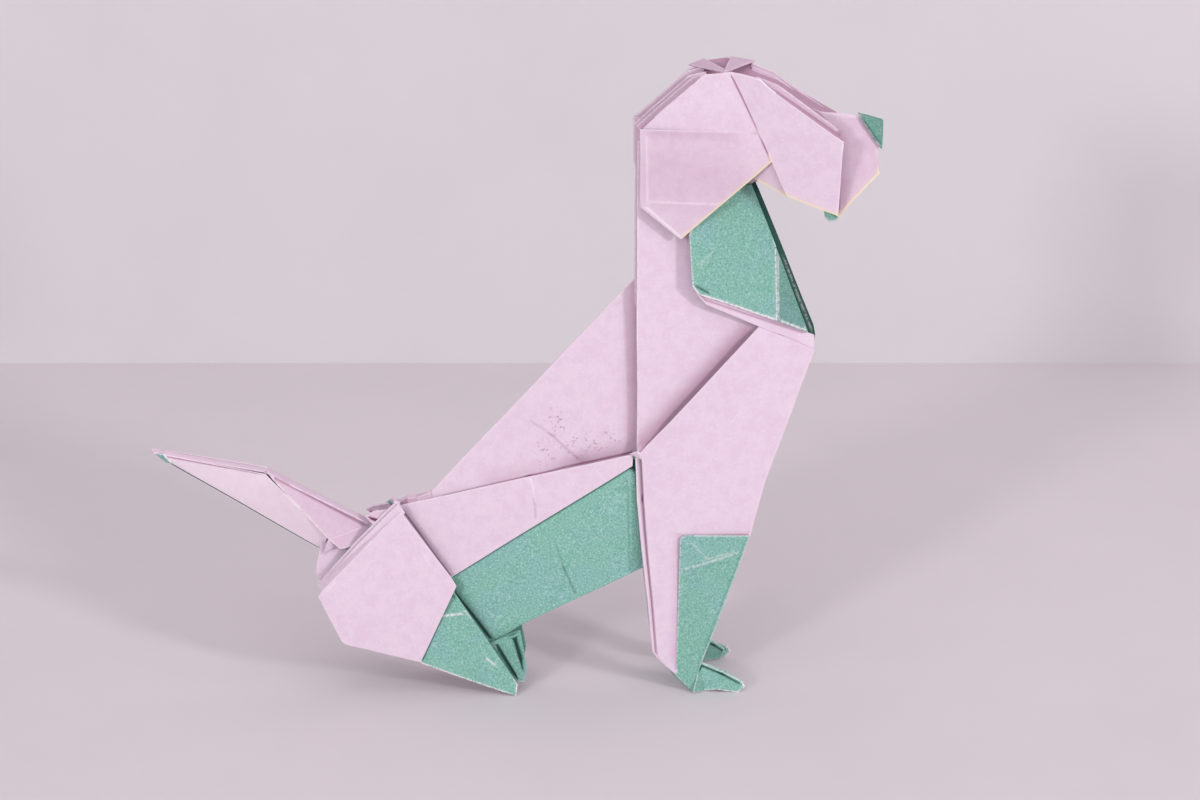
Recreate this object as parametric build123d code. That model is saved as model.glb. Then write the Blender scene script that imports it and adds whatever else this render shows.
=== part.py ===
from build123d import *
import os

# A sitting dog folded from one square of two-coloured paper.
# Millimetres. X runs from the tail to the nose, Z is up from the table, and the two halves
# of the dog are folded alike on either side of the plane Y = 0.
# A fold point is written (along, out, up). Out is its distance from the middle plane.

length = 93.8           # tail tip to nose
height = 84.4           # table to crown
paper = 0.22            # thickness of the sheet
core_layers = 2         # sheets pressed together in the middle of the head

# The fold points below are drawn at this length and height, and stretched to the sizes above.
drawn_length = 93.8
drawn_height = 84.4

# How far the folded layers spring apart, each measured from the middle plane.
crown_out = 3.6         # top of the head
nape_out = 3.3          # back of the head
ear_out = 2.6           # bottom of the cheek fold, at the neck
brow_out = 6.1          # front of the face
jaw_out = 4.3           # back of the jaw
snout_out = 1.8         # lower edge of the snout
chest_out = 1.6         # rear edge of the green bib
neck_out = 2.2          # foot of the neck
knee_out = 0.9          # front corner of the foreleg
foot_out = 4.8          # sole of the front foot
toe_out = 5.4           # turned-out toe of the front foot
belly_out = 2.0         # bottom of the belly, at the foreleg
flank_out = 1.55        # front end of the flank band
haunch_out = 4.1        # lower corner of the haunch
rump_out = 2.2          # rear corner of the haunch's fold
hind_out = 4.5          # toe of the hind foot
tail_out = 0.9          # near edge of the tail's flat top

# Fold points that several parts of the dog share.
throat_top = (30.8, 0, 69.1)
throat_low = (38.9, 0, 49.0)
neck_foot = (16.1, neck_out, 33.0)
ridge_top = (21.5, 0, 62.7)
ridge_rump = (-10.9, 0, 27.4)
belly_front = (16.8, belly_out, 17.0)
crown_front = (27.4, crown_out, 84.3)
crown_back = (16.2, nape_out, 77.1)
brow_front = (41.1, brow_out, 76.1)
cheek_low = (34.6, jaw_out, 68.4)
ear_low = (16.7, ear_out, 66.8)
crown_valley = (27.9, 0, 83.4)
middle_valley = (23.9, 0, 83.2)
nape_valley = (16.0, 0, 76.5)
nape_low = (20.5, 0, 66.2)
snout_root = (39.0, 0, 78.0)
snout_end = (44.3, 0, 77.5)
tail_root = (-18.5, 0, 23.1)


def lay(plane, along, up):
    """The point at (along, up) on the plane through three fold points."""
    a, b, c = [Vector(*p) for p in plane]
    normal = (b - a).cross(c - a)
    run = normal.X * (along - a.X) + normal.Z * (up - a.Z)
    return (along, a.Y - run / normal.Y, up)


def facet(*corners, layers=1):
    """One flat facet of the near side, between its folds and cut edges."""
    long = length / drawn_length
    tall = height / drawn_height
    outline = Wire.make_polygon([Vector(x * long, -out, z * tall) for x, out, z in corners])
    return extrude(Face(outline), amount=layers * paper / 2, both=True)


# Planes that carry a whole layer of paper, and the shared points that lie on them.
neck_plane = (throat_top, throat_low, neck_foot)
neck_nape = lay(neck_plane, 16.0, 69.2)
pleat_deep = lay(neck_plane, 33.6, 43.7)

leg_front = (38.9, knee_out, 46.9)
sole_tip = (23.4, foot_out, 0.1)
leg_plane = (neck_foot, leg_front, sole_tip)
pleat_top = lay(leg_plane, 31.7, 50.1)
sole_back = lay(leg_plane, 21.2, 2.4)
leg_heel = lay(leg_plane, 18.7, 5.4)

back_plane = (ridge_top, ridge_rump, belly_front)
back_front = lay(back_plane, 23.0, 37.5)
back_rear = lay(back_plane, -9.2, 13.7)
belly_rear = lay(back_plane, -3.2, 6.1)

band_front = (15.5, flank_out, 32.8)
belly_plane = (belly_front, belly_rear, band_front)
rim_top = lay(belly_plane, -15.2, 25.7)
hip = lay(belly_plane, -12.0, 13.5)
rim_rear = (-25.9, rump_out, 15.2)
tail_low = (-25.1, tail_out + 0.3, 19.5)

face_plane = (crown_front, brow_front, cheek_low)
brow_bend = lay(face_plane, 32.0, 82.4)
face_fold = lay(face_plane, 31.0, 76.6)
cheek_back = lay(face_plane, 32.6, 73.0)
skull_plane = (crown_back, crown_front, face_fold)
crown_top = lay(skull_plane, 24.0, 83.9)


def neck():
    """Pink side of the neck, its pleat over the foreleg and its folds into the back."""
    return [
        facet(neck_nape, throat_top, throat_low, pleat_deep, neck_foot),
        facet(neck_foot, pleat_deep, pleat_top),
        facet(neck_nape, neck_foot, ridge_top),
        facet(neck_foot, back_front, ridge_top),
    ]


def chest():
    """Green bib folded over a pink strip, both hinged at the throat."""
    strip = (throat_top, throat_low, pleat_top)
    bib = (throat_top, throat_low, (22.6, chest_out, 62.8))
    return [
        facet(throat_top, throat_low, pleat_top, lay(strip, 24.9, 53.9), lay(strip, 24.6, 67.1)),
        facet(throat_low, leg_front, pleat_top),
        facet(
            throat_top,
            throat_low,
            lay(bib, 34.2, 50.9),
            lay(bib, 25.1, 54.5),
            lay(bib, 23.8, 55.2),
            lay(bib, 23.0, 56.3),
            lay(bib, 22.6, 62.8),
            lay(bib, 23.9, 68.5),
        ),
    ]


def foreleg():
    """Pink leg with a second layer behind its calf."""
    calf_top = (15.7, flank_out + 0.4, 32.0)
    calf = (leg_heel, sole_back, calf_top)
    return [
        facet(
            neck_foot,
            pleat_top,
            leg_front,
            lay(leg_plane, 32.8, 29.3),
            lay(leg_plane, 30.8, 21.6),
            lay(leg_plane, 26.2, 8.6),
            sole_tip,
            sole_back,
            leg_heel,
            lay(leg_plane, 17.0, 26.9),
        ),
        facet(
            calf_top,
            lay(calf, 23.0, 29.3),
            sole_back,
            leg_heel,
            lay(calf, 18.0, 6.4),
            lay(calf, 16.1, 26.8),
        ),
    ]


def forefoot():
    """Green shin turned up from the sole, and the toe that props it."""
    shin = (sole_tip, sole_back, (22.0, foot_out - 0.9, 21.9))
    ankle = lay(shin, 24.5, 4.3)
    toe = (sole_tip, ankle, (29.5, toe_out, 0))
    return [
        facet(
            sole_tip,
            sole_back,
            lay(shin, 21.8, 21.4),
            lay(shin, 22.4, 22.0),
            lay(shin, 30.7, 22.1),
            lay(shin, 26.2, 8.9),
            ankle,
        ),
        facet(
            sole_tip,
            lay(toe, 26.6, 0.7),
            lay(toe, 29.5, 0),
            lay(toe, 30.3, 1.2),
            lay(toe, 29.8, 1.8),
            ankle,
        ),
    ]


def back():
    """Pink roof of the back, down to the fold at the bottom of the belly."""
    return [
        facet(
            ridge_top,
            ridge_rump,
            back_rear,
            belly_rear,
            lay(back_plane, 0.6, 8.9),
            belly_front,
            back_front,
        ),
    ]


def flank():
    """Green belly folded up over the back layer, and the pink band folded down over it."""
    band = (band_front, rim_top, (-8.2, flank_out, 16.1))
    return [
        facet(
            band_front,
            rim_top,
            hip,
            belly_rear,
            lay(belly_plane, 0.6, 8.9),
            belly_front,
            lay(belly_plane, 17.5, 30.7),
        ),
        facet(
            band_front,
            rim_top,
            lay(band, -11.9, 13.8),
            lay(band, -8.2, 16.1),
            lay(band, 15.5, 31.1),
        ),
    ]


def haunch():
    """Pink haunch over the flank, with a thick rolled fold along its upper edge."""
    low = (-12.7, haunch_out, 4.8)
    layer = ((-15.0, haunch_out - 2.2, 25.4), (-8.4, haunch_out - 1.2, 16.3), low)
    top = lay(layer, -15.0, 25.4)
    rear = lay(layer, -25.3, 15.1)
    return [
        facet(
            top,
            lay(layer, -8.4, 16.3),
            lay(layer, -7.8, 15.2),
            low,
            lay(layer, -22.6, 7.9),
            rear,
        ),
        facet(top, rim_top, rim_rear),
        facet(top, rim_rear, rear),
    ]


def hind_leg():
    """Green layer under the haunch that comes out as the hind foot."""
    toe = (-0.1, hind_out, 0)
    layer = (rim_top, rim_rear, toe)
    shin = lay(layer, -3.4, 6.9)
    instep = lay(layer, 0.1, 1.5)
    inner = (shin, instep, (0.6, hind_out - 2.3, 8.2))
    return [
        facet(
            rim_top,
            lay(layer, -8.2, 18.4),
            lay(layer, -6.4, 11.0),
            shin,
            instep,
            toe,
            lay(layer, -12.6, 4.8),
            lay(layer, -21.7, 8.4),
            rim_rear,
        ),
        facet(shin, lay(inner, 0.6, 8.2), lay(inner, 1.3, 3.8), lay(inner, 1.0, 1.9), instep),
        facet(rim_top, rim_rear, hip),
    ]


def tail():
    """Flat-topped pink tail, its root flap and the rump it leaves from."""
    bend = (-32.3, 0, 30.8)
    tip = (-46.9, 0, 33.7)
    near_bend = (-32.4, tail_out, 30.9)
    near_root = (-18.7, tail_out - 0.2, 23.0)
    blade = (tip, near_bend, tail_low)
    crease = lay(blade, -24.3, 21.8)
    flap_low = (-20.9, tail_out + 0.1, 20.7)
    rump = (tail_root, tail_low, back_rear)
    return [
        facet(tip, bend, near_bend),
        facet(bend, tail_root, near_root),
        facet(bend, near_root, near_bend),
        facet(tip, near_bend, lay(blade, -30.6, 29.1), crease, tail_low),
        facet(near_bend, near_root, crease),
        facet(near_root, flap_low, crease),
        facet(crease, flap_low, (-22.8, tail_out + 0.5, 20.5)),
        facet(crease, tail_low, tail_root),
        facet(
            tail_root,
            tail_low,
            lay(rump, -26.3, 16.6),
            lay(rump, -25.9, 15.5),
            back_rear,
        ),
        facet(tail_root, ridge_rump, back_rear),
    ]


def head():
    """Skull, cheek and face, with the lining that shows under the cheek."""
    ear = (crown_back, face_fold, ear_low)
    lining = (cheek_back, cheek_low, (30.2, jaw_out - 1.3, 70.1))
    return [
        facet(crown_back, crown_top, crown_front, face_fold),
        facet(crown_back, face_fold, lay(ear, 32.6, 72.9), lay(ear, 21.7, 62.4), ear_low),
        facet(
            crown_front,
            lay(face_plane, 30.8, 83.4),
            brow_bend,
            lay(face_plane, 35.1, 80.2),
            brow_front,
            lay(face_plane, 41.0, 70.0),
            lay(face_plane, 40.8, 66.2),
            lay(face_plane, 35.0, 68.2),
            cheek_low,
            cheek_back,
            face_fold,
        ),
        facet(cheek_back, cheek_low, lay(lining, 30.2, 70.1), lay(lining, 29.0, 74.2)),
    ]


def head_pleats():
    """Folds that turn in from the head's outer edges to its middle valley."""
    return [
        facet(crown_back, crown_top, middle_valley),
        facet(crown_back, middle_valley, nape_valley),
        facet(crown_top, crown_front, crown_valley),
        facet(crown_top, crown_valley, middle_valley),
        facet(crown_front, brow_bend, crown_valley),
        facet(brow_bend, snout_root, crown_valley),
        facet(brow_bend, brow_front, snout_root),
        facet(crown_back, ear_low, nape_low),
        facet(crown_back, nape_low, nape_valley),
    ]


def snout():
    """Pink snout and its green nose."""
    side = (snout_root, snout_end, (46.3, snout_out, 70.7))
    nose_edge = lay(side, 46.3, 74.2)
    return [
        facet(
            snout_root,
            snout_end,
            nose_edge,
            lay(side, 46.1, 73.2),
            lay(side, 46.3, 70.7),
            lay(side, 42.1, 67.2),
            lay(side, 40.9, 65.1),
            lay(side, 39.9, 64.9),
            lay(side, 36.4, 68.8),
        ),
        facet(snout_end, (46.95, 0, 76.9), nose_edge),
    ]


def core():
    """Layers pressed flat in the middle of the head and down into the neck."""
    return facet(
        nape_valley,
        middle_valley,
        crown_valley,
        snout_root,
        snout_end,
        throat_top,
        throat_low,
        ridge_top,
        nape_low,
        layers=core_layers,
    )


def folded_sheet():
    """Both halves of the dog, joined along the folds in the middle plane."""
    parts = [neck, chest, foreleg, forefoot, back, flank, haunch, hind_leg, tail]
    parts += [head, head_pleats, snout]
    facets = [piece for part in parts for piece in part()]
    near = facets[0].fuse(*facets[1:])
    return near.fuse(mirror(near, about=Plane.XZ), core())


os.makedirs("parts", exist_ok=True)
sheet = folded_sheet()
print("solids", len(sheet.solids()), "volume", round(sheet.volume, 1), "valid", sheet.is_valid)
export_step(sheet, "parts/folded_sheet.step")
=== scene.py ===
# %% [markdown]
# # A sitting dog folded from one sheet of two-coloured paper
# The dog is one square of paper, lilac pink on one face and green on the other. Every edge
# is either a fold or a cut edge of that square. This lesson rebuilds the sheet facet by
# facet between its fold points, gives it the paper's real thickness, and then finishes it
# with two printed faces, a cream cut edge, worn folds and creases, painted shade in its
# hollows and between its layers, and a little painted light on the tail.

# %% Load the imported model
import bpy
import math
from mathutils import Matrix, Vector, geometry, noise


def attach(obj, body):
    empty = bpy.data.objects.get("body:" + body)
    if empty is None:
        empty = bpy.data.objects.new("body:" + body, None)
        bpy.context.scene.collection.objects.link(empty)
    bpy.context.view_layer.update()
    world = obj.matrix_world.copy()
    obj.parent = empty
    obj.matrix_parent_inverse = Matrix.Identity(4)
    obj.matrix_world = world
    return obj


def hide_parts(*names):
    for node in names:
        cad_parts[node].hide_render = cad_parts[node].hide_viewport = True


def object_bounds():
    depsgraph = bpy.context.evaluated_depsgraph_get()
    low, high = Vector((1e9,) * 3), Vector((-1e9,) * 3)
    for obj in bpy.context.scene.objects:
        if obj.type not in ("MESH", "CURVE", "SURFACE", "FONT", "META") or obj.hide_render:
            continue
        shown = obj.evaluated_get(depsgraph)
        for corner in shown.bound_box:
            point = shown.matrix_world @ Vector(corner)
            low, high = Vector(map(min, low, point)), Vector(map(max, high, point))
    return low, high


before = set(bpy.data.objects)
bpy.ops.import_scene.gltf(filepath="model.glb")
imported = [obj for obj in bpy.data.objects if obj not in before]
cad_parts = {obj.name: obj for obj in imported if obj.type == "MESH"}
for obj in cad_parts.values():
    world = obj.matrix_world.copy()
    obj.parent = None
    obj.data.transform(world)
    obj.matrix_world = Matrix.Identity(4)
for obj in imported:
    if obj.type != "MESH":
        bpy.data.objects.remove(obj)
low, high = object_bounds()
print("frame nodes", sorted(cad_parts), "box", tuple(low), tuple(high))

# %% [markdown]
# ## Sizes
# The fold points are drawn as a side view in millimetres: how far along the dog, how far out
# from its middle plane, and how far up from the table. The view could be scaled by eye, but
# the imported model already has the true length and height, so both stretches come from its
# box. The sheet is then exactly where the CAD model is. Nearly every panel is two layers
# pressed flat, so a facet is as thick as both.

# %% Sizes of the sheet and the drawing
MM = 0.001
DRAWN_LENGTH = 93.8
DRAWN_HEIGHT = 84.4
PAPER = 0.22
LONG = (high.x - low.x) / MM / DRAWN_LENGTH
TALL = (high.z - low.z) / MM / DRAWN_HEIGHT
print("stretch along and up", round(LONG, 4), round(TALL, 4))

# %% [markdown]
# ## Fold points
# A corner where several facets meet has to be the same point in all of them, or the folds
# gape. Such points get a name and are written once. A point in the middle of a flat layer
# isn't free either: `lay` finds how far out it is from the plane through three fold points.

# %% Named fold points: (along, out, up) in millimetres
THROAT_TOP = (30.8, 0, 69.1)
THROAT_LOW = (38.9, 0, 49.0)
NECK_FOOT = (16.1, 2.2, 33.0)
RIDGE_TOP = (21.5, 0, 62.7)
RIDGE_RUMP = (-10.9, 0, 27.4)
BELLY_FRONT = (16.8, 2.0, 17.0)
CROWN_FRONT = (27.4, 3.6, 84.3)
CROWN_BACK = (16.2, 3.3, 77.1)
BROW_FRONT = (41.1, 6.1, 76.1)
CHEEK_LOW = (34.6, 4.3, 68.4)
EAR_LOW = (16.3, 2.6, 66.9)
NAPE_LOW = (20.5, 0, 66.2)
SNOUT_ROOT = (39.0, 0, 78.0)
SNOUT_END = (44.3, 0, 77.5)
TAIL_ROOT = (-18.5, 0, 23.1)


def lay(plane, along, up):
    """The point at (along, up) on the plane through three fold points."""
    a, b, c = [Vector(p) for p in plane]
    normal = (b - a).cross(c - a)
    run = normal.x * (along - a.x) + normal.z * (up - a.z)
    return (along, a.y - run / normal.y, up)


def lay_all(plane, *spots):
    """Several points of one plane, each given as (along, up)."""
    return [lay(plane, *spot) for spot in spots]


def upright(out, *spots):
    """Points (along, up) that all stand equally far out from the middle plane."""
    return [(along, out, up) for along, up in spots]


def raised(point, out):
    """The same point, moved out from the middle plane."""
    return (point[0], point[1] + out, point[2])


# %% [markdown]
# ## Planes and points that more than one part of the dog uses
# Each whole layer of paper lies in one plane. The plane is named by three of its fold
# points, and the other shared corners are laid on it.

# %% Planes and shared corners
NECK_PLANE = (THROAT_TOP, THROAT_LOW, NECK_FOOT)
NECK_NAPE = lay(NECK_PLANE, 16.0, 75.0)
PLEAT_DEEP = lay(NECK_PLANE, 33.6, 43.7)
LEG_FRONT = (38.9, 0.9, 46.9)
SOLE_TIP = (23.4, 4.8, 0.1)
LEG_PLANE = (NECK_FOOT, LEG_FRONT, SOLE_TIP)
PLEAT_TOP = lay(LEG_PLANE, 31.7, 50.1)
SOLE_BACK = lay(LEG_PLANE, 21.2, 2.4)
LEG_HEEL = lay(LEG_PLANE, 18.7, 5.4)
BACK_PLANE = (RIDGE_TOP, RIDGE_RUMP, BELLY_FRONT)
BACK_FRONT = lay(BACK_PLANE, 23.0, 37.5)
BACK_REAR = lay(BACK_PLANE, -9.2, 13.7)
BELLY_REAR = lay(BACK_PLANE, -3.2, 6.1)
BAND_FRONT = (15.5, 1.55, 32.8)
BELLY_PLANE = (BELLY_FRONT, BELLY_REAR, BAND_FRONT)
RIM_TOP = lay(BELLY_PLANE, -15.2, 25.7)
HIP = lay(BELLY_PLANE, -12.0, 13.5)
RIM_REAR = (-25.9, 2.2, 15.2)
FACE_PLANE = (CROWN_FRONT, BROW_FRONT, CHEEK_LOW)
FACE_FOLD = lay(FACE_PLANE, 31.0, 76.6)
CHEEK_BACK = lay(FACE_PLANE, 32.6, 73.0)
SKULL_PLANE = (CROWN_BACK, CROWN_FRONT, FACE_FOLD)
CROWN_TOP = lay(SKULL_PLANE, 24.0, 83.9)
print("shared corners laid on their planes")

# %% [markdown]
# ## How a facet becomes paper
# A flat polygon looks like card, not like folded paper. Real paper has a thickness, a round
# outer side at each fold, a square pale face at each cut, rubbed colour along its folds and
# a slight swell between them. The Solidify and Bevel modifiers can't tell a fold from a cut,
# so each facet is built directly: rows of points close to its edges carry the wear, a
# Delaunay net joins them, and the rim is made edge by edge.
#
# Each facet gets one letter for each edge: f is a fold, w a fold that is rubbed white,
# h an edge that is hidden or unworn, r a fold whose round side shows the reverse colour,
# and c a cut edge.

# %% Edge kinds and distances within a facet
WEAR = {"f": 0.4, "w": 1.0, "h": 0.0, "r": 0.0, "c": 0.0}
PINK, GREEN, CUT = 0, 1, 2
RUB_WIDTH = 0.08
CREASE_WIDTH = 0.12
RAW_WIDTH = 0.2


def to_edge(p, a, b):
    """Distance from p to the stretch from a to b, all in the facet's own plane."""
    run = b - a
    t = max(0.0, min(1.0, (p - a).dot(run) / run.length_squared))
    return (a + run * t - p).length


def inside(p, outline):
    """True where p is inside the outline, which need not be convex."""
    hit = False
    for a, b in zip(outline, outline[1:] + outline[:1]):
        if (a.y > p.y) != (b.y > p.y) and p.x < (b.x - a.x) * (p.y - a.y) / (b.y - a.y) + a.x:
            hit = not hit
    return hit


def clear(p, outline):
    """Distance to the nearest edge of the outline."""
    return min(to_edge(p, a, b) for a, b in zip(outline, outline[1:] + outline[:1]))


def fall(distance, width):
    """1 at a line, falling to nothing about two widths away."""
    return math.exp(-((distance / width) ** 2))


# %% [markdown]
# ## Points of one facet
# The net needs points in three places: along the edges, in two rows just inside them so that
# wear fades within a third of a millimetre, and spread over the middle so that the paper can
# swell. Creases get five rows of their own, and so do the soft bands of painted shade where
# two layers nearly touch. The rows are linked, because a net that cuts across them would draw
# the wear as a row of teeth.

# %% Points inside a facet
STEP = 1.2
CREASE_STEP = 0.8
ROWS = (0.11, 0.32)
CREASE_ROWS = (-0.28, -0.1, 0.0, 0.1, 0.28)
SOFT_ROWS = (-1.6, -0.8, 0.0, 0.8, 1.6)
CREASE_MARGIN = 0.14
MARGIN = 0.62


def edge_points(outline):
    """Points along the outline, each with the number of the edge that starts there."""
    points = []
    for number, (a, b) in enumerate(zip(outline, outline[1:] + outline[:1])):
        count = max(1, round((b - a).length / STEP))
        points += [(a.lerp(b, k / count), number) for k in range(count)]
    return points


def row_path(outline, depth):
    """The outline drawn again, one depth further in."""
    runs = [(b - a).normalized() for a, b in zip(outline, outline[1:] + outline[:1])]
    inward = [Vector((-run.y, run.x)) for run in runs]
    corners = []
    for number, corner in enumerate(outline):
        both = inward[number - 1] + inward[number]
        spread = max(0.1, 1 + inward[number - 1].dot(inward[number]))
        corners.append(corner + both * (depth / spread))
    path = [p for p, _ in edge_points(corners)]
    return path + path[:1]


def crease_paths(a, b, rows):
    """Paths side by side along a line, at the given distances from it."""
    run = (b - a).normalized()
    across = Vector((-run.y, run.x))
    count = max(2, round((b - a).length / CREASE_STEP))
    return [[a.lerp(b, k / count) + across * row for k in range(count + 1)] for row in rows]


def kept_runs(path, outline, gap):
    """The stretches of a path that stay inside the outline, at least a gap from its edges."""
    runs = [[]]
    for p in path:
        if inside(p, outline) and clear(p, outline) > gap:
            runs[-1].append(p)
        elif runs[-1]:
            runs.append([])
    return runs


def middle_points(outline, lines):
    """A staggered grid over the middle of the facet, kept off its edges and creases."""
    left = min(p.x for p in outline)
    right = max(p.x for p in outline)
    base = min(p.y for p in outline)
    top = max(p.y for p in outline)
    points = []
    for row in range(int((top - base) / STEP) + 1):
        for k in range(int((right - left) / STEP) + 1):
            points.append(Vector((left + (k + 0.5 * (row % 2)) * STEP, base + row * STEP)))
    free = [p for p in points if all(to_edge(p, a, b) > MARGIN for a, b in lines)]
    return [p for p in free if inside(p, outline) and clear(p, outline) > MARGIN]


def facet_net(outline, rim, lines, soft):
    """The net over one facet: its points, its triangles and the place of each rim point."""
    paths = [(row_path(outline, depth), depth * 0.9) for depth in ROWS]
    for a, b, _, _ in lines:
        paths += [(path, CREASE_MARGIN) for path in crease_paths(a, b, CREASE_ROWS)]
    for a, b, _, width in soft:
        rows = [width * row for row in SOFT_ROWS]
        paths += [(path, MARGIN) for path in crease_paths(a, b, rows)]
    cloud = [p for p, _ in rim]
    links = []
    for path, gap in paths:
        for run in kept_runs(path, outline, gap):
            links += [(len(cloud) + k, len(cloud) + k + 1) for k in range(len(run) - 1)]
            cloud += run
    cloud += middle_points(outline, [line[:2] for line in lines + soft])
    loop = list(range(len(rim)))
    net = geometry.delaunay_2d_cdt(cloud, links, [loop], 1, 1e-5)
    where = {k: number for number, found in enumerate(net[3]) for k in found}
    return net[0], net[2], where


# %% [markdown]
# ## A facet in its own plane
# Net, wear and creases are all worked out flat, so a facet needs the way from the side view
# to its own plane. A mark is drawn on the side view too, and keeps its place on the paper
# when the facet leans.
#
# The corners of a folded facet seldom lie exactly in one plane: the paper springs a little.
# Cutting such a facet into triangles would leave false creases. Mean value coordinates share
# the corners' heights out smoothly instead, and stay straight along the edges, so that
# neighbours still meet.

# %% Plane and height of a facet
def sprung(p, outline, heights):
    """Height at p, shared out from the heights of the corners."""
    after = outline[1:] + outline[:1]
    for k, (a, b) in enumerate(zip(outline, after)):
        if to_edge(p, a, b) < 1e-4:
            part = (p - a).length / (b - a).length
            return heights[k] * (1 - part) + heights[(k + 1) % len(heights)] * part
    halves = []
    for a, b in zip(outline, after):
        one = a - p
        two = b - p
        halves.append((one.x * two.y - one.y * two.x) / (one.length * two.length + one.dot(two)))
    weights = [(halves[k - 1] + halves[k]) / (corner - p).length for k, corner in enumerate(outline)]
    return sum(w * h for w, h in zip(weights, heights)) / sum(weights)


class Facet:
    """A polygon of the sheet, with its own flat axes and its edge kinds."""

    def __init__(self, corners, kinds, toward):
        self.centre = sum(corners, Vector()) / len(corners)
        normal = Vector()
        for a, b in zip(corners, corners[1:] + corners[:1]):
            normal += (a - self.centre).cross(b - self.centre)
        normal.normalize()
        if normal.dot(toward) < 0:
            normal = -normal
            corners = corners[::-1]
            kinds = kinds[:-1][::-1] + kinds[-1:]
        self.kinds = kinds
        self.normal = normal
        self.first = (corners[1] - corners[0]).normalized()
        self.second = normal.cross(self.first)
        self.flat = [self.flattened(p - self.centre) for p in corners]
        self.heights = [(p - self.centre).dot(normal) for p in corners]

    def flattened(self, offset):
        return Vector((offset.dot(self.first), offset.dot(self.second)))

    def drawn(self, spot):
        """A spot (along, up) of the side view, in the facet's plane."""
        offset = Vector((spot[0] * LONG - self.centre.x, 0, spot[1] * TALL - self.centre.z))
        offset.y = -(self.normal.x * offset.x + self.normal.z * offset.z) / self.normal.y
        return self.flattened(offset)

    def lines(self, marks):
        """Marks of the side view, in the facet's plane. A second amount left out is 0."""
        return [(self.drawn(a), self.drawn(b), *amounts, 0)[:4] for a, b, *amounts in marks]


# %% [markdown]
# ## The sheet
# One object holds the whole sheet, because it is one piece of paper. Every vertex carries
# four numbers for the finish: how rubbed it is, how near a cut edge, how pale a rubbed crease
# makes it and how dark a painted line or band of shade makes it, and how much painted shade
# darkens its facet, which below zero is painted light that pales it. A slow noise moves all
# layers together by a tenth of a millimetre, so no fold is ruler straight. Its seed is fixed,
# or every run would draw another sheet.

# %% Gather facets into one sheet
SWELL = 0.14
SWELL_REACH = 3.0
SWELL_END = 4.0
DRIFT = 0.10
DRIFT_SIZE = 11.0
FAR_OFF = 9.0
ROUND = (45, 90, 135)
noise.seed_set(1)


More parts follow.
